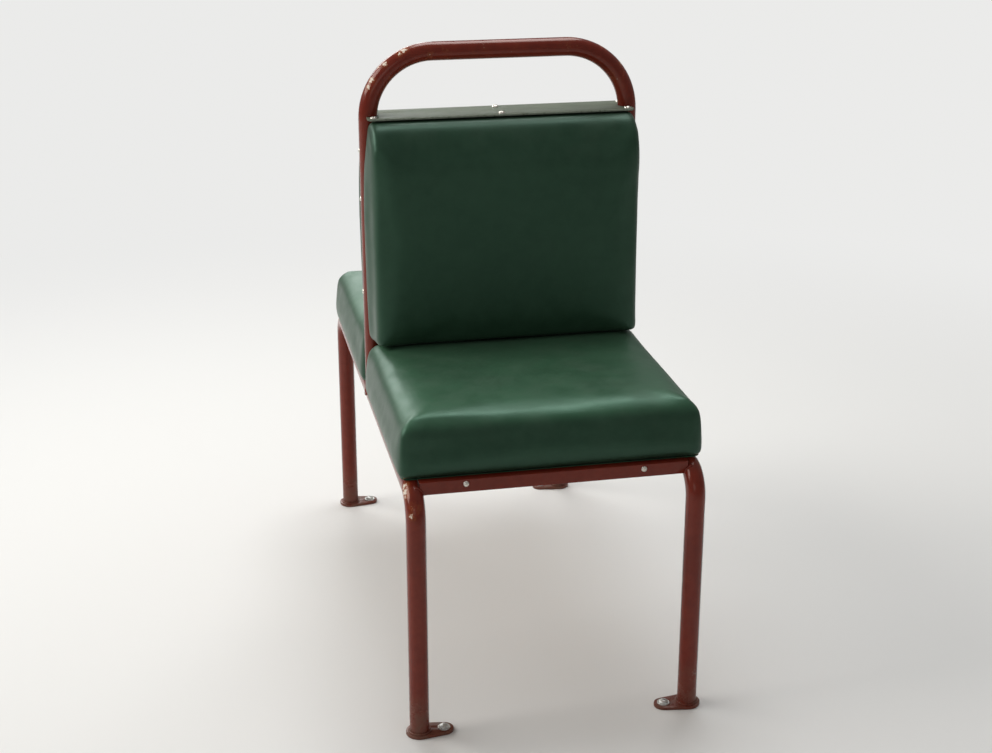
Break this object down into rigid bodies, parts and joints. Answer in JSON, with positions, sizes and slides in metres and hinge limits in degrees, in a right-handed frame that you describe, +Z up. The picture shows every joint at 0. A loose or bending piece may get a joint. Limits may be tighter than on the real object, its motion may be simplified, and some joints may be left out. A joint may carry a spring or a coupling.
{
  "type": "back-to-back tram passenger seat",
  "caption": "Passenger seat from inside an old tram: two padded places back to back, one shared back with a tubular grab hoop, on a bent tube frame with floor plates.",
  "frame": {"origin": "on the floor, under the middle of the seat's back", "axes": "+X from the aisle side to the side wall, +Y the way the fore place faces, +Z up"},
  "size_m": [0.472, 0.902, 0.985],
  "materials": {
    "tube_enamel": "glossy red-brown enamel over steel, chipped at the bends",
    "cap_paint": "satin grey-green paint",
    "leatherette": "smooth dark green leatherette, satin",
    "board_wood": "bare plywood and softwood",
    "screw_nickel": "nickel plated screw heads"
  },
  "bodies": {
    "root": {"leg_frame_aisle": "tube_enamel", "leg_frame_wall": "tube_enamel", "foot_plate_aisle_aft": "tube_enamel", "foot_plate_aisle_fore": "tube_enamel", "foot_plate_wall_aft": "tube_enamel", "foot_plate_wall_fore": "tube_enamel", "grab_hoop": "tube_enamel", "front_angle_aft": "tube_enamel", "front_angle_fore": "tube_enamel", "inner_angle_aft": "tube_enamel", "inner_angle_fore": "tube_enamel", "seat_cushion_aft": "leatherette", "seat_cushion_fore": "leatherette", "seat_board_aft": "board_wood", "seat_board_fore": "board_wood", "back_pad_aft": "leatherette", "back_pad_fore": "leatherette", "back_board_aft": "board_wood", "back_board_fore": "board_wood", "back_core": "board_wood", "back_cap": "cap_paint"}
  },
  "joints": []
}
